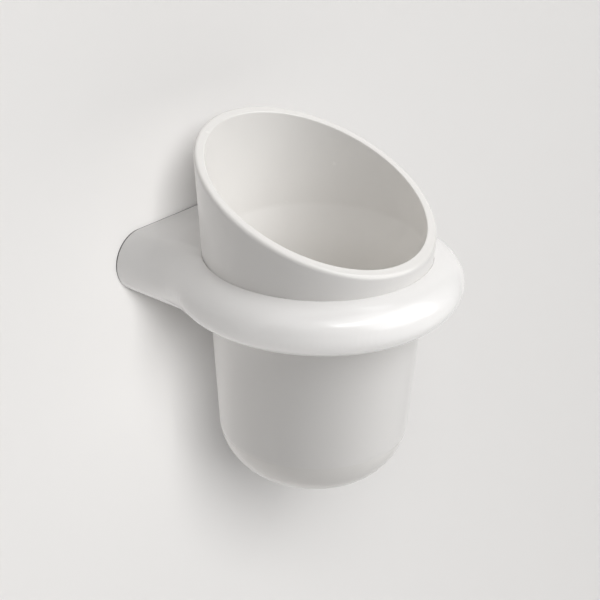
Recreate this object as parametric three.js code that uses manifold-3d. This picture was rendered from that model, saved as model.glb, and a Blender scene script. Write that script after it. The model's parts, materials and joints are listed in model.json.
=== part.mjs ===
// Wall-mounted tumbler holder: a glazed ceramic ring on a short arm, with a lift-out ceramic tumbler.
// Millimetres. The wall is the plane y = 0, the object reaches out along -Y, and +Z is up.
// The origin is the centre of the wall plate's back face.

import * as THREE from 'three';
import { mergeVertices } from 'three/addons/utils/BufferGeometryUtils.js';
import Module from 'manifold-3d';

// Tumbler
const tumblerRadius = 37.7; // outer radius of the lower wall where the shoulder starts
const tumblerTaper = THREE.MathUtils.degToRad(3.9);
const tumblerWall = 3.5;
const tumblerFloor = 5;
const tumblerDepth = 82.5; // shoulder down to the base
const baseCornerRadius = 21.5;
const footWidth = 3;
const footRecess = 1.2;
const shoulderWidth = 1.2;
const mouthTilt = THREE.MathUtils.degToRad(23.2);
const mouthLowRise = 5.4; // ring's top up to the mouth's low front edge
const ledgeDrop = 2.8; // mouth's low edge down to the inner ledge
const rimRound = 1.1;

// Ring and arm
const ringBand = 12.3; // bore to the ring's outermost edge
const ringHeight = 18.8;
const boreClearance = 0.5;
const boreEdgeCut = 0.8;
const armReach = 9.8; // wall to the ring's nearest edge
const armWidth = 74.4;
const armHeight = 22.4;
const armTopDrop = 0.9; // ring's top down to the arm's top
const pocketWall = 5;
const pocketFrontWall = 5;

// Seat ring
const seatRebate = 3.6; // ring's top down to the rebate's floor
const seatRingThickness = 1.5;

// Wall plate and gasket
const plateThickness = 2.5;
const plateClearance = 1;
const tongueWidth = 14;
const tongueThickness = 4.4;
const tongueClearance = 1.5;
const gasketThickness = 0.5;
const gasketInset = 1.2;
const gasketPocketInset = 0.8;

// Fasteners
const screwEndInset = 9.2; // plate's end to a screw's axis
const screwRadius = 2.1;
const screwCoreRadius = 1.5;
const screwLength = 30; // under the head
const screwPitch = 2.4;
const screwTip = 5;
const screwHeadRadius = 3.8;
const screwHeadHeight = 2.4;
const crossSlotLength = 4.4;
const crossSlotWidth = 1;
const crossSlotDepth = 1.4;
const screwHoleClearance = 0.5;
const plugRadius = 4;
const plugLength = 32;
const plugSink = 2.3; // wall's face to the plug, behind a tile's glaze
const plugGroove = 0.6;
const plugGrooves = 4;
const plugSlotWidth = 1;
const plugSolidLength = 12; // part of the plug that isn't split
const setScrewRadius = 2;
const setScrewSink = 2.1; // arm's underside up to the screw's socket end
const setScrewSocketRadius = 1.15;
const setScrewSocketDepth = 2.5;
const socketSides = 6;
const bushWall = 1.3;
const bushFlange = 1.1;
const bushFlangeThickness = 1;
const bushSink = 0.6; // arm's underside up to the bush's lower end

// Gap kept between pieces that bear on each other
const contactGap = 0.3;

// Steps round a full turn
const roundSteps = 60;
const screwSteps = 14;
const sleeveSteps = 20;

// Steps along a rounded corner, the mouth's edge and the ring's half-round section
const cornerSteps = 9;
const rimSteps = 2;
const sectionSteps = 16;

// Heights from the ring's middle
const ringTop = ringHeight / 2;
const ringRise = armHeight / 2 - ringTop + armTopDrop; // arm's centre line up to the ring's middle
const rebateFloor = ringTop - seatRebate;
const shoulderHeight = rebateFloor + seatRingThickness + 2 * contactGap;
const baseHeight = shoulderHeight - tumblerDepth;
const mouthLow = ringTop + mouthLowRise;
const ledgeHeight = mouthLow - ledgeDrop;

// Radii from the ring's axis
const taperSlope = Math.tan(tumblerTaper);
const wallInset = tumblerWall / Math.cos(tumblerTaper);
const lowerRadius = (z) => tumblerRadius + taperSlope * (z - shoulderHeight);
const upperRadius = (z) => lowerRadius(z) + shoulderWidth;
const boreRadius = (z) => lowerRadius(z) + boreClearance;
const rebateRadius = upperRadius(ringTop) + boreClearance;
const ringOuterRadius = boreRadius(0) + ringBand;

// Distances along the arm
const axisDistance = armReach + ringOuterRadius;
const armBack = gasketThickness + contactGap;
const pocketEnd = axisDistance - rebateRadius - pocketFrontWall;
const pocketWidth = armWidth - 2 * pocketWall;
const pocketHeight = armHeight - 2 * pocketWall;
const plateWidth = pocketWidth - 2 * plateClearance;
const plateHeight = pocketHeight - 2 * plateClearance;
const screwPlace = plateWidth / 2 - screwEndInset;
const setScrewPlace = (plateThickness + pocketEnd) / 2;
const tongueLow = plateHeight / 2 - tongueThickness;
const bushRadius = setScrewRadius + contactGap + bushWall;

const ceramic = { color: 0xf2f0ee, roughness: 0.12, metalness: 0 };
const steel = { color: 0xb9bcc0, roughness: 0.35, metalness: 1 };
const brass = { color: 0xc9a45a, roughness: 0.35, metalness: 1 };
const nylon = { color: 0xb4b6b8, roughness: 0.6, metalness: 0 };
const silicone = { color: 0xdfe2e4, roughness: 0.45, metalness: 0 };

const wasm = await Module();
wasm.setup();

// Keeps positions only, joins shared points and drops the flat triangles that a lathe leaves on its axis.
function closed(geometry) {
  const plain = geometry.clone();
  plain.deleteAttribute('normal');
  plain.deleteAttribute('uv');
  const merged = mergeVertices(plain, 1e-4);
  const corners = merged.index.array;
  const kept = [];
  for (let i = 0; i < corners.length; i += 3) {
    const [a, b, c] = corners.slice(i, i + 3);
    if (a !== b && b !== c && c !== a) kept.push(a, b, c);
  }
  merged.setIndex(kept);
  return merged;
}

function solid(geometry) {
  const merged = closed(geometry);
  const vertProperties = new Float32Array(merged.attributes.position.array);
  const triVerts = new Uint32Array(merged.index.array);
  return new wasm.Manifold(new wasm.Mesh({ numProp: 3, vertProperties, triVerts }));
}

function shell(body) {
  const mesh = body.getMesh();
  const geometry = new THREE.BufferGeometry();
  geometry.setAttribute('position', new THREE.BufferAttribute(mesh.vertProperties, 3));
  geometry.setIndex(new THREE.BufferAttribute(mesh.triVerts, 1));
  geometry.computeVertexNormals();
  return geometry;
}

// A profile of radius and height turned about +Z. It runs up the outside and comes back inside.
function turned(profile, steps = roundSteps) {
  const points = profile.map(([radius, height]) => new THREE.Vector2(radius, height));
  return closed(new THREE.LatheGeometry(points, steps).rotateX(Math.PI / 2));
}

function arc(centreRadius, centreHeight, size, from, to, steps) {
  const points = [];
  for (let i = 0; i <= steps; i += 1) {
    const angle = from + ((to - from) * i) / steps;
    points.push([centreRadius + size * Math.cos(angle), centreHeight + size * Math.sin(angle)]);
  }
  return points;
}

// A slot-shaped outline with round ends, wide along x.
function slotShape(width, height) {
  const end = height / 2;
  const straight = Math.max(width / 2 - end, 0);
  const shape = new THREE.Shape();
  shape.moveTo(-straight, -end);
  shape.lineTo(straight, -end);
  shape.absarc(straight, 0, end, -Math.PI / 2, Math.PI / 2, false);
  shape.lineTo(-straight, end);
  shape.absarc(-straight, 0, end, Math.PI / 2, 1.5 * Math.PI, false);
  return shape;
}

// An outline in the wall's plane, drawn out from one distance off the wall to another.
function drawnOut(shape, from, to, curveSegments = 12) {
  const geometry = new THREE.ExtrudeGeometry(shape, { depth: to - from, bevelEnabled: false, curveSegments });
  return geometry.rotateX(Math.PI / 2).translate(0, -from, 0);
}

function block(width, depth, height) {
  return new THREE.BoxGeometry(width, depth, height);
}

function piece(name, geometry, finish) {
  const mesh = new THREE.Mesh(geometry, new THREE.MeshStandardMaterial(finish));
  mesh.name = name;
  return mesh;
}

// Rounded corner between the tapered wall and the base, at an inset from the outer surface.
function baseCorner(inset, floorHeight, size) {
  const centreHeight = floorHeight + size;
  const touchHeight = centreHeight - size * Math.sin(tumblerTaper);
  const centreRadius = lowerRadius(touchHeight) - inset - size * Math.cos(tumblerTaper);
  return { centreRadius, centreHeight };
}

// The tumbler is turned with a level mouth, then everything above the ledge slides up along its tapered
// wall until the mouth lies in one slanted plane, high towards the wall.
function tumblerGeometry() {
  const outerSize = Math.min(baseCornerRadius, lowerRadius(baseHeight) - 2 * footWidth);
  const innerSize = Math.max(outerSize - tumblerWall, tumblerWall);
  const innerFloor = baseHeight + tumblerFloor;
  const outer = baseCorner(0, baseHeight, outerSize);
  const inner = baseCorner(wallInset, innerFloor, innerSize);
  const footRadius = outer.centreRadius - footWidth;
  const rimSize = Math.min(rimRound, tumblerWall / 3);
  const mouthEdge = mouthLow - rimSize;
  const lowRadius = upperRadius(mouthLow);
  const rimOuter = lowRadius - rimSize;
  const rimInner = lowRadius - wallInset + rimSize;
  const profile = [
    [0, baseHeight + footRecess],
    [footRadius, baseHeight + footRecess],
    [footRadius, baseHeight],
    ...arc(outer.centreRadius, outer.centreHeight, outerSize, -Math.PI / 2, -tumblerTaper, cornerSteps),
    [lowerRadius(shoulderHeight), shoulderHeight],
    [upperRadius(shoulderHeight), shoulderHeight],
    [upperRadius(mouthEdge), mouthEdge],
    ...arc(rimOuter, mouthEdge, rimSize, Math.PI / 6, Math.PI / 2, rimSteps),
    ...arc(rimInner, mouthEdge, rimSize, Math.PI / 2, (5 * Math.PI) / 6, rimSteps),
    [upperRadius(mouthEdge) - wallInset, mouthEdge],
    [upperRadius(ledgeHeight) - wallInset, ledgeHeight],
    [lowerRadius(ledgeHeight) - wallInset, ledgeHeight],
    ...arc(inner.centreRadius, inner.centreHeight, innerSize, -tumblerTaper, -Math.PI / 2, cornerSteps),
    [0, innerFloor],
  ];
  const geometry = turned(profile);
  const place = geometry.attributes.position;
  const mouthSlope = Math.tan(mouthTilt);
  for (let i = 0; i < place.count; i += 1) {
    const share = THREE.MathUtils.clamp((place.getZ(i) - ledgeHeight) / (mouthEdge - ledgeHeight), 0, 1);
    const radius = Math.hypot(place.getX(i), place.getY(i));
    if (share > 0) {
      const slope = share * mouthSlope;
      const turnY = place.getY(i) / radius;
      const slid = (radius + taperSlope * slope * lowRadius) / (1 - taperSlope * slope * turnY);
      const lift = slope * (slid * turnY + lowRadius);
      const grow = slid / radius;
      place.setXYZ(i, place.getX(i) * grow, place.getY(i) * grow, place.getZ(i) + lift);
    }
  }
  return geometry;
}

// Flat ring that lies in the holder's rebate and carries the tumbler's shoulder.
function seatRingGeometry() {
  const low = rebateFloor + contactGap;
  const high = low + seatRingThickness;
  const innerRadius = boreRadius(rebateFloor);
  const outerRadius = rebateRadius - contactGap;
  return turned([
    [innerRadius, low],
    [outerRadius, low],
    [outerRadius, high],
    [innerRadius, high],
    [innerRadius, low],
  ]);
}

// Ring and arm are one fired piece, hollow at the back for the wall plate.
function holderGeometry() {
  const centreRadius = boreRadius(0);
  const halfTurn = arc(0, 0, 1, -Math.PI / 2, Math.PI / 2, sectionSteps);
  const disc = [
    [0, -ringTop],
    ...halfTurn.map(([out, up]) => [centreRadius + ringBand * out, ringTop * up]),
    [0, ringTop],
  ];
  const past = ringHeight;
  const armLow = -armHeight / 2 - ringRise;
  const relief = [
    [0, armLow - past],
    [ringOuterRadius, armLow - past],
    [ringOuterRadius, armLow],
    [centreRadius, -ringTop],
    [0, -ringTop],
  ];
  const edgeLow = ringTop - boreEdgeCut;
  const bore = [
    [0, -ringTop - past],
    [boreRadius(-ringTop - past), -ringTop - past],
    [boreRadius(rebateFloor), rebateFloor],
    [rebateRadius, rebateFloor],
    [rebateRadius, edgeLow],
    [rebateRadius + boreEdgeCut, ringTop],
    [rebateRadius + boreEdgeCut, ringTop + past],
    [0, ringTop + past],
  ];
  const onAxis = (profile) => solid(turned(profile).translate(0, -axisDistance, ringRise));
  const arm = solid(drawnOut(slotShape(armWidth, armHeight), armBack, axisDistance));
  const pocket = solid(drawnOut(slotShape(pocketWidth, pocketHeight), armBack - past, pocketEnd));
  const screwWay = [
    [0, -armHeight],
    [bushRadius + contactGap, -armHeight],
    [bushRadius + contactGap, 0],
    [0, 0],
  ];
  const screwHole = solid(turned(screwWay, sleeveSteps).translate(0, -setScrewPlace, 0));
  const body = arm.subtract(onAxis(relief)).add(onAxis(disc)).subtract(onAxis(bore));
  return shell(body.subtract(pocket).subtract(screwHole));
}

// Steel plate on the wall, with a tongue that the set screw presses against.
function wallPlateGeometry() {
  const outline = slotShape(plateWidth, plateHeight);
  for (const side of [-1, 1]) {
    const hole = new THREE.Path();
    hole.absarc(side * screwPlace, 0, screwRadius + screwHoleClearance, 0, 2 * Math.PI, true);
    outline.holes.push(hole);
  }
  const plate = solid(drawnOut(outline, 0, plateThickness, 8));
  const tongueEnd = pocketEnd - tongueClearance;
  const tongue = block(tongueWidth, tongueEnd, tongueThickness);
  tongue.translate(0, -tongueEnd / 2, (plateHeight - tongueThickness) / 2);
  return shell(plate.add(solid(tongue)));
}

function wallGasketGeometry() {
  const outline = slotShape(armWidth - 2 * gasketInset, armHeight - 2 * gasketInset);
  outline.holes.push(slotShape(pocketWidth + 2 * gasketPocketInset, pocketHeight + 2 * gasketPocketInset));
  return drawnOut(outline, 0, gasketThickness);
}

// Pan-head screw along the wall's normal, head outwards, with a ridged shank and a cross slot.
function wallScrewGeometry() {
  const ridges = Math.floor((screwLength - screwTip - plateThickness) / screwPitch);
  const profile = [
    [0, 0],
    [screwCoreRadius, screwTip],
  ];
  for (let i = 0; i < ridges; i += 1) {
    const low = screwTip + i * screwPitch;
    profile.push([screwRadius, low + screwPitch / 2]);
    profile.push([screwCoreRadius, low + screwPitch]);
  }
  profile.push([screwCoreRadius, screwLength]);
  profile.push([screwHeadRadius, screwLength]);
  profile.push([screwHeadRadius, screwLength + screwHeadHeight / 2]);
  profile.push([screwHeadRadius / 2, screwLength + screwHeadHeight]);
  profile.push([0, screwLength + screwHeadHeight]);
  const slotTop = screwLength + screwHeadHeight;
  const slot = block(crossSlotLength, crossSlotWidth, 2 * crossSlotDepth).translate(0, 0, slotTop);
  const crossSlot = solid(slot).add(solid(slot.clone().rotateZ(Math.PI / 2)));
  const screw = shell(solid(turned(profile, screwSteps)).subtract(crossSlot));
  return screw.rotateX(Math.PI / 2).translate(0, screwLength - plateThickness - contactGap, 0);
}

// Grooved nylon sleeve in the wall, split at its far end so that the screw spreads it.
function wallPlugGeometry() {
  const bore = screwRadius + contactGap;
  const slotLength = plugLength - plugSolidLength;
  const grooveStep = slotLength / plugGrooves;
  const profile = [
    [bore, 0],
    [plugRadius - plugGroove, 0],
  ];
  for (let i = 0; i < plugGrooves; i += 1) {
    profile.push([plugRadius, (i + 1) * grooveStep]);
    profile.push([plugRadius - plugGroove, (i + 1) * grooveStep]);
  }
  profile.push([plugRadius - plugGroove, plugLength]);
  profile.push([bore, plugLength]);
  profile.push([bore, 0]);
  const slot = block(2 * plugRadius, plugSlotWidth, 2 * slotLength).translate(plugRadius, 0, 0);
  const plug = shell(solid(turned(profile, sleeveSteps)).subtract(solid(slot)));
  return plug.rotateX(Math.PI / 2).translate(0, plugLength + plugSink, 0);
}

// Headless screw that comes up through the arm's underside to the tongue.
function setScrewGeometry() {
  const top = tongueLow - contactGap;
  const low = -armHeight / 2 + setScrewSink;
  const body = turned([[0, low], [setScrewRadius, low], [setScrewRadius, top], [0, top]], sleeveSteps);
  const across = setScrewSocketRadius;
  const socket = new THREE.CylinderGeometry(across, across, 2 * setScrewSocketDepth, socketSides);
  const cut = solid(body).subtract(solid(socket.rotateX(Math.PI / 2).translate(0, 0, low)));
  return shell(cut).translate(0, -setScrewPlace, 0);
}

// Flanged brass bush in the arm's underside, its flange on the pocket's floor.
function setScrewBushGeometry() {
  const bore = setScrewRadius + contactGap;
  const low = -armHeight / 2 + bushSink;
  const flangeLow = -pocketHeight / 2 + contactGap;
  const flangeHigh = flangeLow + bushFlangeThickness;
  const profile = [
    [bore, low],
    [bushRadius, low],
    [bushRadius, flangeLow],
    [bushRadius + bushFlange, flangeLow],
    [bushRadius + bushFlange, flangeHigh],
    [bore, flangeHigh],
    [bore, low],
  ];
  return turned(profile, sleeveSteps).translate(0, -setScrewPlace, 0);
}

const tumblerHolder = new THREE.Group();
tumblerHolder.add(piece('holder', holderGeometry(), ceramic));
tumblerHolder.add(piece('wall_plate', wallPlateGeometry(), steel));
tumblerHolder.add(piece('wall_gasket', wallGasketGeometry(), silicone));
tumblerHolder.add(piece('set_screw', setScrewGeometry(), steel));
tumblerHolder.add(piece('set_screw_bush', setScrewBushGeometry(), brass));

for (const [side, sign] of [['left', -1], ['right', 1]]) {
  const fixing = new THREE.Group();
  fixing.position.x = sign * screwPlace;
  fixing.add(piece(`wall_screw_${side}`, wallScrewGeometry(), steel));
  fixing.add(piece(`wall_plug_${side}`, wallPlugGeometry(), nylon));
  tumblerHolder.add(fixing);
}

const onRing = new THREE.Group();
onRing.position.set(0, -axisDistance, ringRise);
onRing.add(piece('seat_ring', seatRingGeometry(), silicone));
onRing.add(piece('tumbler', tumblerGeometry(), ceramic));
tumblerHolder.add(onRing);

export default tumblerHolder;
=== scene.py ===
# A white ceramic tumbler holder on a wall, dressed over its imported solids, in metres.
import json
import math

import bmesh
import bpy
from mathutils import Matrix, Vector


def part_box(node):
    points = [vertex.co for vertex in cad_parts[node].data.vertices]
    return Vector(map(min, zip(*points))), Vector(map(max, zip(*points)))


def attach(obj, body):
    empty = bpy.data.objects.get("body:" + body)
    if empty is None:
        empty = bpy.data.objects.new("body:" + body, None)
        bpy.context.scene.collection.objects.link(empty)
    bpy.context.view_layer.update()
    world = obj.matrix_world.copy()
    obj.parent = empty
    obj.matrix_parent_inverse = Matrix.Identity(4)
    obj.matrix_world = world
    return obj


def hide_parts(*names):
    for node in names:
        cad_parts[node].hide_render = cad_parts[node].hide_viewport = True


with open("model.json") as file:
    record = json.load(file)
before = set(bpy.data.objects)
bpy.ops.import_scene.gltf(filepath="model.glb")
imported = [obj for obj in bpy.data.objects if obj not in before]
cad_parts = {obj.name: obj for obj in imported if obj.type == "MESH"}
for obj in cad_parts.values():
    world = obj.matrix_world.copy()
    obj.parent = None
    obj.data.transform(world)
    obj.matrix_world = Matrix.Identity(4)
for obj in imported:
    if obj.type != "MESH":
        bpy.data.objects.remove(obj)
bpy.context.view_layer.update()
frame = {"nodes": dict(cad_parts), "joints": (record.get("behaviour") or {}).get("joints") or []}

scene = bpy.context.scene
scene.view_settings.view_transform = "Standard"
mm = 0.001

# Camera
# It stands to the left of the holder and looks down into the slanted mouth, turned a little clockwise.
# The ring's middle lies right of the picture's middle and above it.
ring_centre = Vector(frame["joints"][0]["pos_m"])
view_azimuth = math.radians(-52.0)
view_elevation = math.radians(24.85)
view_roll = math.radians(1.54)
view_distance = 500 * mm
picture_size = 600
sensor_size = 36.0
pixels_per_metre = 2935.0
ring_pixel = Vector((317.2, 275.0))

focal_pixels = pixels_per_metre * view_distance
back = Vector((
    math.sin(view_azimuth) * math.cos(view_elevation),
    -math.cos(view_azimuth) * math.cos(view_elevation),
    math.sin(view_elevation),
))
level = Vector((math.cos(view_azimuth), math.sin(view_azimuth), 0.0))
upright = back.cross(level)
right = math.cos(view_roll) * level + math.sin(view_roll) * upright
up = math.cos(view_roll) * upright - math.sin(view_roll) * level
off_axis = (ring_pixel - Vector((picture_size / 2, picture_size / 2))) / focal_pixels
forward = (-back - off_axis.x * right + off_axis.y * up).normalized()
right = (right - right.dot(forward) * forward).normalized()
up = right.cross(forward)

camera = bpy.data.objects.new("camera", bpy.data.cameras.new("camera"))
scene.collection.objects.link(camera)
camera.data.sensor_width = sensor_size
camera.data.lens = sensor_size * focal_pixels / picture_size
camera.matrix_world = Matrix((right, up, -forward)).transposed().to_4x4()
camera.location = ring_centre + back * view_distance
scene.camera = camera


# Wall plugs
# Grooved grey nylon sleeves pushed into drilled holes in the wall, just under its face.
# The screws spread their split ends.
class Value:
    """A result on a material's node sheet. Arithmetic on it adds Math nodes."""

    def __init__(self, sheet, socket):
        self.sheet = sheet
        self.socket = socket

    def math(self, operation, first, second):
        return self.sheet.node("ShaderNodeMath", {"operation": operation}, {0: first, 1: second})

    def __add__(self, other):
        return self.math("ADD", self, other)

    def __mul__(self, other):
        return self.math("MULTIPLY", self, other)

    __radd__ = __add__
    __rmul__ = __mul__


class Sheet:
    """A material's node sheet, with one method that adds any node."""

    def __init__(self, name):
        self.material = bpy.data.materials.new(name)
        self.material.use_nodes = True
        self.nodes = self.material.node_tree.nodes
        self.links = self.material.node_tree.links
        self.shader = self.nodes["Principled BSDF"]

    def fill(self, socket, value):
        if isinstance(value, Value):
            self.links.new(value.socket, socket)
        else:
            socket.default_value = value

    def node(self, kind, settings=None, sockets=None, output=0):
        added = self.nodes.new(kind)
        for name, value in (settings or {}).items():
            setattr(added, name, value)
        for name, value in (sockets or {}).items():
            self.fill(added.inputs[name], value)
        return Value(self, added.outputs[output])

    def place(self, stretch=(1.0, 1.0, 1.0)):
        where = self.node("ShaderNodeTexCoord", output="Object")
        return self.node("ShaderNodeMapping", sockets={"Vector": where, "Scale": stretch})

    def noise(self, scale, detail=2.0, stretch=(1.0, 1.0, 1.0)):
        sockets = {"Vector": self.place(stretch), "Scale": scale, "Detail": detail}
        return self.node("ShaderNodeTexNoise", sockets=sockets)

    def between(self, share, low, high):
        """Mixes two colours, each of them plain or a result."""
        low, high = (end if isinstance(end, Value) else (*end, 1.0) for end in (low, high))
        return self.node("ShaderNodeMix", {"data_type": "RGBA"}, {0: share, 6: low, 7: high}, output=2)

    def bump(self, height, strength, depth):
        sockets = {"Height": height, "Strength": strength, "Distance": depth}
        return self.node("ShaderNodeBump", sockets=sockets)

    def finish(self, **sockets):
        for name, value in sockets.items():
            self.fill(self.shader.inputs[name.replace("_", " ").title()], value)
        return self.material


def moulded_nylon():
    sheet = Sheet("moulded_nylon")
    cloud = sheet.noise(scale=160.0, detail=3.0)
    grain = sheet.noise(scale=2600.0)
    colour = sheet.between(cloud, (0.44, 0.45, 0.46), (0.54, 0.55, 0.56))
    return sheet.finish(
        base_color=colour,
        roughness=0.5 + 0.16 * grain,
        normal=sheet.bump(grain, strength=0.25, depth=0.1 * mm),
    )


def edged(node, material, width):
    """Gives a carried-over solid its finish and small rounded edges."""
    solid = frame["nodes"][node]
    solid.data.materials.clear()
    solid.data.materials.append(material)
    weld = solid.modifiers.new("weld", "WELD")
    weld.merge_threshold = 0.001 * mm
    bevel = solid.modifiers.new("edges", "BEVEL")
    bevel.width = width
    bevel.segments = 2
    bevel.limit_method = "ANGLE"
    bevel.angle_limit = math.radians(40)


plug_edge = 0.1 * mm
plug_nylon = moulded_nylon()
for side in ("left", "right"):
    edged("wall_plug_" + side, plug_nylon, plug_edge)


# Wall screws and wall plate
# Pan-head stainless screws hold a brushed stainless plate to the wall inside the hollow arm.
# The plate's tongue reaches out for the set screw to bear on.
def brushed_steel():
    sheet = Sheet("brushed_steel")
    lines = sheet.noise(scale=900.0, detail=4.0, stretch=(0.06, 1.0, 1.0))
    cloud = sheet.noise(scale=90.0)
    colour = sheet.between(cloud, (0.55, 0.56, 0.58), (0.66, 0.67, 0.69))
    return sheet.finish(
        base_color=colour,
        metallic=1.0,
        roughness=0.24 + 0.2 * lines,
        normal=sheet.bump(lines, strength=0.18, depth=0.05 * mm),
    )


plate_edge = 0.3 * mm
screw_edge = 0.08 * mm
steel = brushed_steel()
edged("wall_plate", steel, plate_edge)
for side in ("left", "right"):
    edged("wall_screw_" + side, steel, screw_edge)


# Set screw and bush
# A headless screw with a six-sided socket comes up through the arm's underside to the tongue.
# It turns in a machined brass bush that is bonded into the ceramic.
def machined_brass():
    sheet = Sheet("machined_brass")
    rings = sheet.noise(scale=1400.0, detail=3.0, stretch=(0.1, 0.1, 1.0))
    stain = sheet.noise(scale=220.0, detail=3.0)
    colour = sheet.between(stain, (0.62, 0.44, 0.19), (0.78, 0.6, 0.3))
    return sheet.finish(
        base_color=colour,
        metallic=1.0,
        roughness=0.22 + 0.2 * rings,
        normal=sheet.bump(rings, strength=0.15, depth=0.05 * mm),
    )


set_screw_edge = 0.1 * mm
bush_edge = 0.15 * mm
edged("set_screw", steel, set_screw_edge)
edged("set_screw_bush", machined_brass(), bush_edge)


# Wall gasket
# A thin gasket of silicone between the arm's back and the wall, with the plate in its opening.
# Its edge is the fine dark line that follows the arm's outline on the wall.
# Its dark grey is painted shade, standing in for the shadow in the gap at the wall.
def moulded_silicone(name, low, high):
    """Satin silicone whose colour drifts between two shades."""
    sheet = Sheet(name)
    cloud = sheet.noise(scale=120.0)
    grain = sheet.noise(scale=1800.0)
    return sheet.finish(
        base_color=sheet.between(cloud, low, high),
        roughness=0.38 + 0.14 * grain,
        normal=sheet.bump(grain, strength=0.12, depth=0.05 * mm),
    )


def made(name, bm, *materials):
    """Turns a bmesh into a linked object with its place in its mesh."""
    mesh = bpy.data.meshes.new(name)
    bm.to_mesh(mesh)
    bm.free()
    thing = bpy.data.objects.new(name, mesh)
    scene.collection.objects.link(thing)
    for material in materials:
        mesh.materials.append(material)
    return thing


def slot_outline(bm, half_width, half_height, distance, segments):
    """Adds a slot-shaped loop with round ends, that far out from the wall."""
    turn = Matrix.Rotation(math.radians(90), 4, "X") @ Matrix.Rotation(math.pi / segments, 4, "Z")
    loop = bmesh.ops.create_circle(bm, segments=segments, radius=half_height, matrix=turn)["verts"]
    straight = half_width - half_height
    for corner in loop:
        corner.co.x += math.copysign(straight, corner.co.x)
        corner.co.y = -distance
    return loop


plate_low, plate_high = (Vector(corner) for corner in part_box("wall_plate"))
gasket_low, gasket_high = (Vector(corner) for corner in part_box("wall_gasket"))
gasket_inset = 1.2 * mm
arm_half_width = gasket_high.x + gasket_inset
arm_half_height = gasket_high.z + gasket_inset
lip_inset = 0.3 * mm
plate_gap = 1.0 * mm
pocket_margin = 0.8 * mm
opening_gap = plate_gap + pocket_margin
slot_steps = 128
gasket_bm = bmesh.new()
slot_outline(gasket_bm, arm_half_width - lip_inset, arm_half_height - lip_inset, 0.0, slot_steps)
slot_outline(gasket_bm, plate_high.x + opening_gap, plate_high.z + opening_gap, 0.0, slot_steps)
sheet_faces = bmesh.ops.bridge_loops(gasket_bm, edges=list(gasket_bm.edges))["faces"]
lifted = bmesh.ops.extrude_face_region(gasket_bm, geom=sheet_faces, use_keep_orig=True)["geom"]
lifted = [part for part in lifted if isinstance(part, bmesh.types.BMVert)]
bmesh.ops.translate(gasket_bm, verts=lifted, vec=(0.0, gasket_low.y, 0.0))
bmesh.ops.recalc_face_normals(gasket_bm, faces=gasket_bm.faces)
# The gasket's dark grey is painted shade for the shadow in the gap at the wall.
painted_shade_silicone = moulded_silicone("painted_shade_silicone", (0.13, 0.13, 0.135), (0.18, 0.18, 0.185))
gasket = made("wall_gasket_lip", gasket_bm, painted_shade_silicone)
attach(gasket, "holder")
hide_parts("wall_gasket")


# Holder
# Ring and arm are cast as one piece and dipped in white glaze, so the arm flows into the ring.
# The back is hollow for the wall plate, and the bore has a rebate for the seat ring.
def white_glaze(name, thin, thick, roughness):
    """Opaque white glaze, a shade lighter where it lies thick."""
    sheet = Sheet(name)
    pool = sheet.noise(scale=28.0, detail=2.0)
    cloud = sheet.noise(scale=150.0, detail=3.0)
    peel = sheet.noise(scale=420.0, detail=1.0)
    colour = sheet.between(pool, thin, thick)
    return sheet.finish(
        base_color=colour,
        roughness=roughness - 0.03 + 0.06 * cloud,
        normal=sheet.bump(peel, strength=0.05, depth=0.2 * mm),
        coat_weight=0.2,
        coat_roughness=0.14,
    )


def settle(thing):
    """Bakes an object's modifiers into its mesh."""
    graph = bpy.context.evaluated_depsgraph_get()
    mesh = bpy.data.meshes.new_from_object(thing.evaluated_get(graph))
    thing.modifiers.clear()
    thing.data = mesh


def cut(thing, cutter):
    knife = thing.modifiers.new("cut", "BOOLEAN")
    knife.operation = "DIFFERENCE"
    knife.solver = "EXACT"
    knife.object = cutter
    settle(thing)
    bpy.data.objects.remove(cutter)


def spun(bm):
    """Spins the wire that lies in the XZ plane into a full round about the ring's axis."""
    bmesh.ops.spin(
        bm, geom=list(bm.verts) + list(bm.edges), cent=(0, 0, 0), axis=(0, 0, 1), dvec=(0, 0, 0),
        angle=math.tau, steps=round_steps, use_merge=True,
    )
    bmesh.ops.remove_doubles(bm, verts=bm.verts, dist=0.001 * mm)
    bmesh.ops.recalc_face_normals(bm, faces=bm.faces)
    bmesh.ops.translate(bm, verts=bm.verts, vec=ring_centre)


def wire(bm, points, close=False):
    """Adds a line of edges through radius and height pairs, and returns its corners."""
    corners = [bm.verts.new((radius, 0.0, height)) for radius, height in points]
    following = corners[1:] + corners[:1] if close else corners[1:]
    for pair in zip(corners, following):
        bm.edges.new(pair)
    return corners


def rounded(bm, corners, width, segments):
    """Rounds corners of a wire with arcs that start width away from them."""
    bmesh.ops.bevel(
        bm, geom=corners, offset=width, offset_type="OFFSET", affect="VERTICES",
        segments=segments, profile=0.5, material=-1,
    )


def slot_block(name, half_width, half_height, near, far, segments):
    """A slot-shaped bar between two distances from the wall."""
    bm = bmesh.new()
    loop = slot_outline(bm, half_width, half_height, near, segments)
    base = bmesh.ops.contextual_create(bm, geom=loop)["faces"]
    far_end = bmesh.ops.extrude_face_region(bm, geom=base, use_keep_orig=True)["geom"]
    far_end = [part for part in far_end if isinstance(part, bmesh.types.BMVert)]
    bmesh.ops.translate(bm, verts=far_end, vec=(0.0, near - far, 0.0))
    bmesh.ops.recalc_face_normals(bm, faces=bm.faces)
    return made(name, bm)


holder_low, holder_high = (Vector(corner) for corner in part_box("holder"))
seat_low, seat_high = (Vector(corner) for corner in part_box("seat_ring"))
ring_half_height = holder_high.z - ring_centre.z
ring_outer = ring_centre.y - holder_low.y
ring_band = 12.3 * mm
ring_core = ring_outer - ring_band
round_steps = 192

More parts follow.
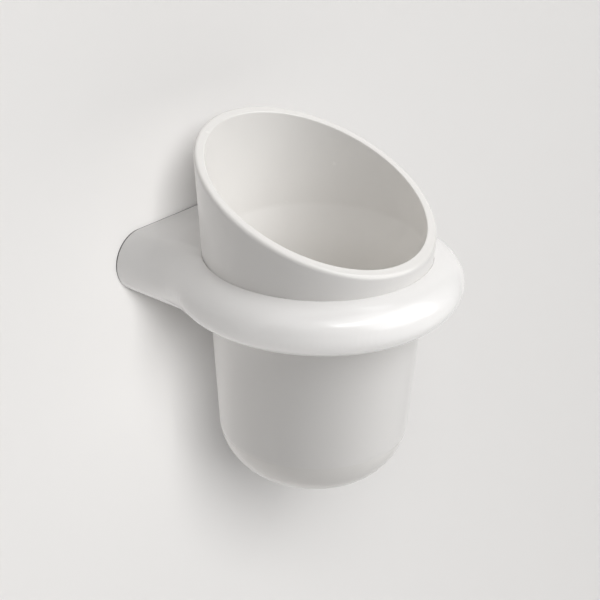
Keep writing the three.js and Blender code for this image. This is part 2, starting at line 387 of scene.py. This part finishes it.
# Ring: an ellipse spun about the ring's axis. The bore takes its inner half away later.
section_steps = 72
ring_bm = bmesh.new()
section = bmesh.ops.create_circle(
    ring_bm, segments=section_steps, radius=1.0, matrix=Matrix.Rotation(math.radians(90), 4, "X")
)["verts"]
bmesh.ops.scale(ring_bm, verts=section, vec=(ring_band, 1.0, ring_half_height))
bmesh.ops.translate(ring_bm, verts=section, vec=(ring_core, 0.0, 0.0))
spun(ring_bm)
ring = made("ring", ring_bm)

# Arm: a slot-shaped bar from behind the wall's face to the ring's axis.
arm_spare = 6 * mm
arm = slot_block("arm", arm_half_width, arm_half_height, -arm_spare, -ring_centre.y, slot_steps)

# The two are melted into one rough casting.
cast_bm = bmesh.new()
cast_bm.from_mesh(ring.data)
cast_bm.from_mesh(arm.data)
bpy.data.objects.remove(ring)
bpy.data.objects.remove(arm)
melt_grain = 1.2 * mm
holder = made("holder_glazed", cast_bm)
melt = holder.modifiers.new("melt", "REMESH")
melt.mode = "VOXEL"
melt.voxel_size = melt_grain
settle(holder)

# Each point of the casting is drawn to the finished outline, which fills the corner between ring and arm.
# The fill dies out where the two run level, and is small on the underside, where the corner stays crisp.
arm_low = holder_low.z - ring_centre.z
fill_most = 11 * mm
fill_half_turn = 0.08
relief_reach = 7 * mm
relief_soft = 1.5 * mm
fill_full_height = -4 * mm
fill_small_height = -10 * mm
fill_end = 25 * mm
draw_rounds = 7
feel = 0.05 * mm
least_way = 0.1


def eased(value, start, end):
    """Climbs gently from 0 at the start to 1 at the end."""
    share = min(max((value - start) / (end - start), 0.0), 1.0)
    return share * share * (3.0 - 2.0 * share)


def off_ring(point):
    """How far a point lies outside the ring's round section."""
    across = math.hypot(point.x, point.y - ring_centre.y) - ring_core
    height = point.z - ring_centre.z
    share = math.hypot(across / ring_band, height / ring_half_height)
    slant = math.hypot(across / ring_band ** 2, height / ring_half_height ** 2)
    return (share - 1.0) * share / max(slant, 1.0)


def off_arm(point):
    """How far a point lies outside the arm, whose underside rises to the ring."""
    across = max(abs(point.x) - (arm_half_width - arm_half_height), 0.0)
    outside_slot = math.hypot(across, point.z) - arm_half_height
    radius = math.hypot(point.x, point.y - ring_centre.y)
    rise = (arm_low + ring_half_height) * eased(radius - ring_core, 0.0, relief_reach)
    under = ring_centre.z - ring_half_height + rise - point.z
    lead = max(relief_soft - abs(outside_slot - under), 0.0) / relief_soft
    trimmed = max(outside_slot, under) + lead * lead * relief_soft / 4
    return max(trimmed, ring_centre.y - point.y)


def way_out(off, point):
    """The direction in which a point leaves a form fastest."""
    steps = (Vector((feel, 0, 0)), Vector((0, feel, 0)), Vector((0, 0, feel)))
    return Vector([off(point + step) - off(point - step) for step in steps]).normalized()


def drawn(point):
    """Moves a point towards the outline in which ring and arm flow together."""
    ring_way = way_out(off_ring, point)
    arm_way = way_out(off_arm, point)
    ring_off = off_ring(point)
    arm_off = off_arm(point)
    room = eased(point.z, fill_small_height, fill_full_height)
    room = room * eased(point.y - ring_centre.y, 0.0, fill_end)
    turn = 1.0 - ring_way.dot(arm_way)
    fill = room * fill_most * turn / (turn + fill_half_turn) + feel
    share = min(max(0.5 + 0.5 * (arm_off - ring_off) / fill, 0.0), 1.0)
    off = share * ring_off + (1.0 - share) * arm_off - fill * share * (1.0 - share)
    way = share * ring_way + (1.0 - share) * arm_way
    if way.length < least_way:
        return point
    return point - way * (off / way.length_squared)


bore_clear = 4 * mm
cast_bm = bmesh.new()
cast_bm.from_mesh(holder.data)
for vert in cast_bm.verts:
    if math.hypot(vert.co.x, vert.co.y - ring_centre.y) > ring_core - bore_clear:
        for _ in range(draw_rounds):
            vert.co = drawn(vert.co)
cast_bm.to_mesh(holder.data)
cast_bm.free()
finer = holder.modifiers.new("finer", "SUBSURF")
finer.levels = 1
finer.render_levels = 1
settle(holder)

# The back is ground flat at the gasket.
cast_bm = bmesh.new()
cast_bm.from_mesh(holder.data)
bmesh.ops.bisect_plane(
    cast_bm, geom=list(cast_bm.verts) + list(cast_bm.edges) + list(cast_bm.faces), dist=0.01 * mm,
    plane_co=(0.0, holder_high.y, 0.0), plane_no=(0.0, 1.0, 0.0), clear_outer=True,
)
bmesh.ops.contextual_create(cast_bm, geom=[edge for edge in cast_bm.edges if edge.is_boundary])
bmesh.ops.recalc_face_normals(cast_bm, faces=cast_bm.faces)
cast_bm.to_mesh(holder.data)
cast_bm.free()

# Bore: a cone that follows the tumbler, with the seat ring's rebate and small rounded edges.
bore_taper = math.tan(math.radians(3.9))
bore_edge = 0.12 * mm
bore_past = 0.6 * mm
bore_low_inset = 0.02 * mm
bore_high_inset = 0.1 * mm
bore_low = bore_low_inset - ring_half_height
bore_high = ring_half_height - bore_high_inset
bore_end = 2 * ring_half_height
seat_band = 1.14 * mm
seat_gap = 0.05 * mm
rebate_radius = seat_high.x + seat_gap
rebate_floor = seat_low.z - seat_gap - ring_centre.z
bore_radius = seat_high.x - seat_band
low_radius = bore_radius - bore_taper * (rebate_floor + ring_half_height)
bore_bm = bmesh.new()
bore_corners = wire(bore_bm, [
    (0.0, -bore_end),
    (low_radius + bore_past, -bore_end),
    (low_radius + bore_past, bore_low),
    (low_radius, bore_low),
    (bore_radius, rebate_floor),
    (rebate_radius, rebate_floor),
    (rebate_radius, bore_high),
    (rebate_radius + bore_past, bore_high),
    (rebate_radius + bore_past, bore_end),
    (0.0, bore_end),
])
rounded(bore_bm, [bore_corners[3], bore_corners[6]], bore_edge, segments=5)
spun(bore_bm)
cut(holder, made("bore", bore_bm))

# Pocket for the wall plate, and the hole for the set screw's bush.
bush_low, bush_high = (Vector(corner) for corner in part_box("set_screw_bush"))
tongue_gap = 1.5 * mm
pocket_past = 30 * mm
pocket_end = -plate_low.y + tongue_gap
pocket = slot_block(
    "pocket", plate_high.x + plate_gap, plate_high.z + plate_gap, -pocket_past, pocket_end, segments=64
)
cut(holder, pocket)
bush_radius = 3.6 * mm
bush_gap = 0.3 * mm
bush_middle = (bush_low + bush_high) / 2
hole_radius = bush_radius + bush_gap
hole_length = 20 * mm
hole_place = Matrix.Translation((0.0, bush_middle.y, -hole_length / 2))
hole_bm = bmesh.new()
bmesh.ops.create_cone(
    hole_bm, cap_ends=True, segments=48, radius1=hole_radius, radius2=hole_radius,
    depth=hole_length, matrix=hole_place,
)
cut(holder, made("bush_hole", hole_bm))


def shaded(thing, angle=35):
    """Smooth shading that keeps the edges sharper than an angle."""
    thing.data.shade_smooth()
    thing.data.set_sharp_from_angle(angle=math.radians(angle))


holder.data.materials.clear()
holder_glaze = white_glaze(
    "holder_glaze", thin=(0.844, 0.831, 0.818), thick=(0.864, 0.852, 0.84), roughness=0.2
)
holder.data.materials.append(holder_glaze)
shaded(holder)
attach(holder, "holder")
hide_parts("holder")

# Seat ring
# A milky silicone ring with soft corners that lies loose in the rebate.
# The tumbler's shoulder rests on it, so glaze never knocks on glaze.
seat_inner = bore_radius + seat_gap
seat_round = 0.3 * mm
seat_bm = bmesh.new()
seat_corners = wire(seat_bm, [
    (seat_inner, seat_low.z - ring_centre.z),
    (seat_high.x, seat_low.z - ring_centre.z),
    (seat_high.x, seat_high.z - ring_centre.z),
    (seat_inner, seat_high.z - ring_centre.z),
], close=True)
rounded(seat_bm, seat_corners, seat_round, segments=4)
spun(seat_bm)
milky_silicone = moulded_silicone("milky_silicone", (0.7, 0.71, 0.72), (0.8, 0.81, 0.82))
seat_ring = made("seat_ring_soft", seat_bm, milky_silicone)
shaded(seat_ring, angle=60)
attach(seat_ring, "seat_ring")
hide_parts("seat_ring")

# Tumbler
# A slip-cast cup with a tapered wall, a big round base corner and a mouth cut on a slant.
# Inside, the wall draws in under a ledge at the shoulder. The foot is wiped clean of glaze.
tumbler_low = Vector(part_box("tumbler")[0])
tumbler_taper = math.radians(3.9)
tumbler_wall = 3.5 * mm
tumbler_floor = 5 * mm
base_corner = 21.5 * mm
foot_width = 3 * mm
foot_recess = 1.2 * mm
shoulder_width = 1.43 * mm
mouth_tilt = math.radians(23.2)
rim_round_outside = 1.5 * mm
rim_round_inside = 0.45 * mm
rim_film = 0.15 * mm
seat_play = 0.3 * mm
shoulder_height = seat_high.z + seat_play - ring_centre.z
shoulder_radius = 37.7 * mm
base_height = tumbler_low.z - ring_centre.z
floor_height = base_height + tumbler_floor
over_mouth = 60 * mm
slope = math.tan(tumbler_taper)
wall_inset = tumbler_wall / math.cos(tumbler_taper)


def outside(height):
    return shoulder_radius + slope * (height - shoulder_height)


def corner_cut(size):
    """How far along base and wall a corner's arc starts."""
    return size * math.tan((math.pi / 2 - tumbler_taper) / 2)


mouth_rise = 5.4 * mm
mouth_step = 1.2 * mm
mouth_low = ring_half_height + mouth_rise
mouth_radius = outside(mouth_low) + mouth_step
ledge_drop = 2.8 * mm
ledge_height = mouth_low - ledge_drop
ledge_radius = outside(ledge_height) + shoulder_width - wall_inset
funnel_drop = 16 * mm
funnel_lean = math.tan(math.radians(15))
funnel_low = ledge_height - funnel_drop
funnel_radius = ledge_radius - funnel_lean * funnel_drop
floor_radius = funnel_radius - slope * (funnel_low - floor_height)
foot_radius = outside(base_height) - corner_cut(base_corner) - foot_width
ledge_round = 0.8 * mm
funnel_round = 7 * mm
foot_round = 0.4 * mm
cup_bm = bmesh.new()
profile = wire(cup_bm, [
    (0.0, base_height + foot_recess),
    (foot_radius, base_height + foot_recess),
    (foot_radius, base_height),
    (outside(base_height), base_height),
    (outside(shoulder_height), shoulder_height),
    (outside(shoulder_height) + shoulder_width, shoulder_height),
    (outside(over_mouth) + shoulder_width, over_mouth),
    (outside(over_mouth) + shoulder_width - wall_inset, over_mouth),
    (ledge_radius, ledge_height),
    (funnel_radius, funnel_low),
    (floor_radius, floor_height),
    (0.0, floor_height),
])
foot_corners = profile[1:3]
base_outside = profile[3:4]
ledge_corner = profile[8:9]
funnel_end = profile[9:10]
base_inside = profile[10:11]
rounded(cup_bm, base_outside, corner_cut(base_corner), segments=28)
rounded(cup_bm, base_inside, corner_cut(base_corner - tumbler_wall), segments=28)
rounded(cup_bm, ledge_corner, ledge_round, segments=6)
rounded(cup_bm, funnel_end, funnel_round, segments=12)
rounded(cup_bm, foot_corners, foot_round, segments=4)
spun(cup_bm)
mouth_front = ring_centre + Vector((0.0, -mouth_radius, mouth_low))
mouth_normal = Vector((0.0, -math.sin(mouth_tilt), math.cos(mouth_tilt)))
bmesh.ops.bisect_plane(
    cup_bm, geom=list(cup_bm.verts) + list(cup_bm.edges) + list(cup_bm.faces), dist=0.001 * mm,
    plane_co=mouth_front, plane_no=mouth_normal, clear_outer=True,
)
mouth_edges = [edge for edge in cup_bm.edges if edge.is_boundary]
bmesh.ops.bridge_loops(cup_bm, edges=mouth_edges)
bmesh.ops.recalc_face_normals(cup_bm, faces=cup_bm.faces)


def off_axis_by(edge):
    """How far an edge of the mouth lies from the cup's axis, brought down to the ring's middle."""
    middle = (edge.verts[0].co + edge.verts[1].co) / 2 - ring_centre
    return math.hypot(middle.x, middle.y) - slope * middle.z


rim_middle = ledge_radius + tumbler_wall / 2 - slope * ledge_height
outer_rim = [edge for edge in mouth_edges if off_axis_by(edge) > rim_middle]
inner_rim = [edge for edge in mouth_edges if edge not in outer_rim]
for edges, width in ((outer_rim, rim_round_outside), (inner_rim, rim_round_inside)):
    bmesh.ops.bevel(
        cup_bm, geom=edges, offset=width, offset_type="OFFSET", affect="EDGES",
        segments=6, profile=0.5, material=-1,
    )


def bare_foot():
    sheet = Sheet("bare_foot")
    grain = sheet.noise(scale=2200.0, detail=4.0)
    stain = sheet.noise(scale=260.0, detail=3.0)
    colour = sheet.between(stain, (0.6, 0.57, 0.52), (0.72, 0.69, 0.64))
    return sheet.finish(
        base_color=colour,
        roughness=0.62 + 0.25 * grain,
        normal=sheet.bump(grain, strength=0.35, depth=0.08 * mm),
    )


outer_glaze = white_glaze(
    "tumbler_outer_glaze", thin=(0.866, 0.849, 0.829), thick=(0.889, 0.874, 0.855), roughness=0.3
)
# The inside glaze is a lighter copy of the outside one: painted light for the brighter inside of the
# mouth.
lit_inner_glaze = white_glaze(
    "tumbler_lit_inner_glaze", thin=(0.902, 0.882, 0.853), thick=(0.922, 0.904, 0.877), roughness=0.26
)
tumbler = made("tumbler_glazed", cup_bm, outer_glaze, bare_foot(), lit_inner_glaze)
bare, inner = 1, 2
foot_film = 0.05 * mm
for face in tumbler.data.polygons:
    centre = face.center - ring_centre
    step = shoulder_width if centre.z > shoulder_height else 0.0
    rim_edge = outside(centre.z) + step - rim_film
    if face.center.z < tumbler_low.z + foot_film:
        face.material_index = bare
    elif centre.z > floor_height - foot_film and math.hypot(centre.x, centre.y) < rim_edge:
        face.material_index = inner
shaded(tumbler)
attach(tumbler, "tumbler")
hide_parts("tumbler")


# Wall, floor and light
# A plain pale wall that shows from the front only, lit by a lamp of its own, and a pale floor far below.
# A large soft key light comes from the right. Two fills and a narrow streak lamp light the holder alone.
def paint_tone(sheet, colour):
    """Plain paint, a touch darker in places."""
    cloud = sheet.noise(scale=1.3, detail=1.0)
    return sheet.between(cloud, colour, tuple(part * paint_drift for part in colour))


def matt_paint(sheet, tone):
    sheet.shader.inputs["Specular IOR Level"].default_value = 0.0
    return sheet.finish(base_color=tone, roughness=0.9)


def stage_plane(name, matrix, material):
    bm = bmesh.new()
    bmesh.ops.create_grid(bm, x_segments=1, y_segments=1, size=stage_half, matrix=matrix)
    plane = made(name, bm, material)
    return plane


stage_half = 3.0
floor_depth = 0.6
floor_past_wall = 0.1
floor_colour = (0.78, 0.775, 0.77)
wall_front = -0.05 * mm
wall_colour = (0.806, 0.793, 0.78)
wall_dull_colour = (0.57, 0.563, 0.556)
paint_drift = 0.985

# The wall looks pale, to the eye and in the glaze, but throws little light back on the holder.
wall_sheet = Sheet("wall_paint")
pale = paint_tone(wall_sheet, wall_colour)
seen = wall_sheet.node("ShaderNodeLightPath", output="Is Camera Ray")
for ray in ("Is Glossy Ray", "Is Transmission Ray"):
    seen = seen + wall_sheet.node("ShaderNodeLightPath", output=ray)
wall_paint = matt_paint(wall_sheet, wall_sheet.between(seen, wall_dull_colour, pale))
behind = wall_sheet.node("ShaderNodeNewGeometry", output="Backfacing")
clear = wall_sheet.node("ShaderNodeBsdfTransparent")
front = Value(wall_sheet, wall_sheet.shader.outputs[0])
one_sided = wall_sheet.node("ShaderNodeMixShader", sockets={0: behind, 1: front, 2: clear})
wall_sheet.fill(wall_sheet.nodes["Material Output"].inputs["Surface"], one_sided)
wall_middle = Matrix.Translation((0.0, wall_front, stage_half - floor_depth))
wall = stage_plane("wall", wall_middle @ Matrix.Rotation(math.radians(90), 4, "X"), wall_paint)

floor_sheet = Sheet("floor_paint")
floor_paint = matt_paint(floor_sheet, paint_tone(floor_sheet, floor_colour))
stage_plane("floor", Matrix.Translation((0.0, floor_past_wall - stage_half, -floor_depth)), floor_paint)

world = bpy.data.worlds.new("soft_room")
scene.world = world
world.use_nodes = True
room_light = world.node_tree.nodes["Background"].inputs
room_light["Color"].default_value = (0.9, 0.9, 0.9, 1.0)
room_light["Strength"].default_value = 0.1

wall_alone = bpy.data.collections.new("wall_alone")
wall_alone.objects.link(wall)
holder_alone = bpy.data.collections.new("holder_alone")
holder_alone.objects.link(holder)
all_but_wall = bpy.data.collections.new("all_but_wall")
all_but_wall.objects.link(wall)
all_but_wall.collection_objects[0].light_linking.link_state = "EXCLUDE"


def softbox(name, azimuth, elevation, width, height, watts, lit, distance=1.5):
    """An area light that points at the ring's middle and lights one collection."""
    lamp = bpy.data.lights.new(name, "AREA")
    lamp.shape = "RECTANGLE"
    lamp.size = width
    lamp.size_y = height
    lamp.energy = watts
    light = bpy.data.objects.new(name, lamp)
    scene.collection.objects.link(light)
    turn = math.radians(azimuth)
    lift = math.radians(elevation)
    level_out = math.cos(lift)
    out = Vector((math.sin(turn) * level_out, -math.cos(turn) * level_out, math.sin(lift)))
    light.location = ring_centre + out * distance
    light.rotation_euler = out.to_track_quat("Z", "Y").to_euler()
    light.light_linking.receiver_collection = lit
    return light


softbox("key", azimuth=22, elevation=31, width=1.6, height=1.4, watts=18.2, lit=all_but_wall)
softbox("top", azimuth=2, elevation=60, width=1.2, height=0.7, watts=4.8, lit=all_but_wall)
softbox("side_strip", azimuth=85, elevation=65, width=0.6, height=0.22, watts=1.1, lit=all_but_wall)
softbox("back", azimuth=145, elevation=30, width=1.0, height=1.0, watts=5.0, lit=all_but_wall)
ring_fill = softbox(
    "ring_fill", azimuth=-22, elevation=-22, width=1.3, height=0.8, watts=12.5, lit=holder_alone
)
ring_fill.visible_glossy = False
streak = softbox("streak", azimuth=-17, elevation=50, width=0.7, height=0.22, watts=3.0, lit=holder_alone)
streak.visible_diffuse = False
softbox("arm_fill", azimuth=-70, elevation=55, width=1.0, height=1.0, watts=2.0, lit=holder_alone)
softbox(
    "wall_lamp", azimuth=-38, elevation=35, width=2.9, height=2.9, watts=432.0, lit=wall_alone,
    distance=6.0,
)
